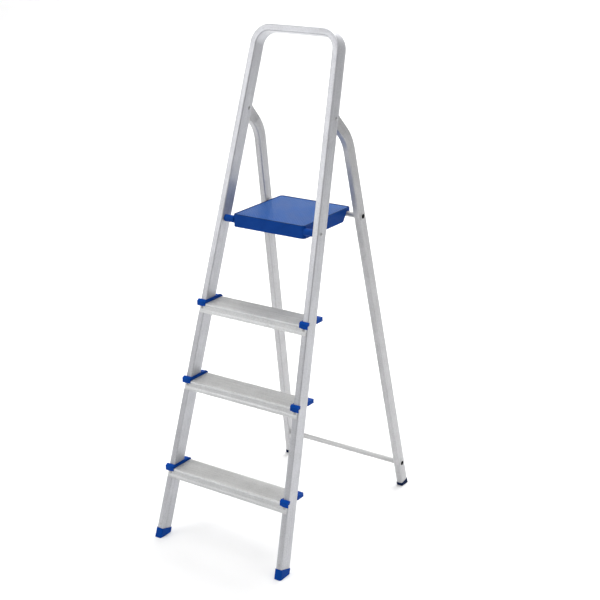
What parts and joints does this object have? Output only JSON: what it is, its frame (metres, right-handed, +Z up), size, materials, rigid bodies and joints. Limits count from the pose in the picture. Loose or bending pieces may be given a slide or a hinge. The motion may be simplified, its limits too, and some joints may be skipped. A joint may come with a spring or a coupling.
{
  "type": "platform step ladder",
  "caption": "Folding platform step ladder: bent tube front frame with top rail, extruded treads, tip-up moulded platform and two pivoted rear legs with cross rods.",
  "frame": {"origin": "centre of the footprint at floor level, between the front and rear feet, with the ladder open", "axes": "+Z up, +Y from the climber's side towards the rear legs, +X to the right of a climber facing the ladder"},
  "size_m": [0.4434, 0.6776, 1.4024],
  "materials": {
    "tube_aluminium": "satin drawn tube with faint lengthwise lines",
    "tread_aluminium": "satin extrusion, ribbed along the tread",
    "rod_aluminium": "satin drawn tube",
    "blue_plastic": "moulded, slightly glossy",
    "platform_plastic": "moulded, fine anti-slip texture on top",
    "navy_plastic": "moulded, matt",
    "pin_steel": "bright rivet heads"
  },
  "bodies": {
    "front": {"front_frame": "tube_aluminium", "tread_1": "tread_aluminium", "tread_2": "tread_aluminium", "tread_3": "tread_aluminium", "tread_1_cap_left": "blue_plastic", "tread_1_cap_right": "blue_plastic", "tread_2_cap_left": "blue_plastic", "tread_2_cap_right": "blue_plastic", "tread_3_cap_left": "blue_plastic", "tread_3_cap_right": "blue_plastic", "tread_rivets": "pin_steel", "platform_pin_left": "pin_steel", "platform_pin_right": "pin_steel", "leg_pin_left": "pin_steel", "leg_pin_right": "pin_steel", "front_foot_left": "blue_plastic", "front_foot_right": "blue_plastic", "foot_rivets": "pin_steel"},
    "rear_frame": {"rear_leg_left": "tube_aluminium", "rear_leg_right": "tube_aluminium", "platform_support_rod": "rod_aluminium", "brace_rod": "rod_aluminium", "leg_bush_left": "navy_plastic", "leg_bush_right": "navy_plastic", "rear_foot_left": "navy_plastic", "rear_foot_right": "navy_plastic"},
    "platform_body": {"platform": "platform_plastic"}
  },
  "joints": [
    {"name": "leg_fold", "type": "hinge", "parent": "front", "child": "rear_frame", "pos_m": [0, 0.0633, 1.174], "axis": [-1, 0, 0], "range_deg": [0, 26.3]},
    {"name": "platform_tip", "type": "hinge", "parent": "front", "child": "platform_body", "pos_m": [0, -0.04052, 0.884], "axis": [1, 0, 0], "range_deg": [0, 72.5]}
  ],
  "couplings": [
    {"joint": "platform_tip", "follows": "leg_fold", "ratio": 2.75}
  ]
}
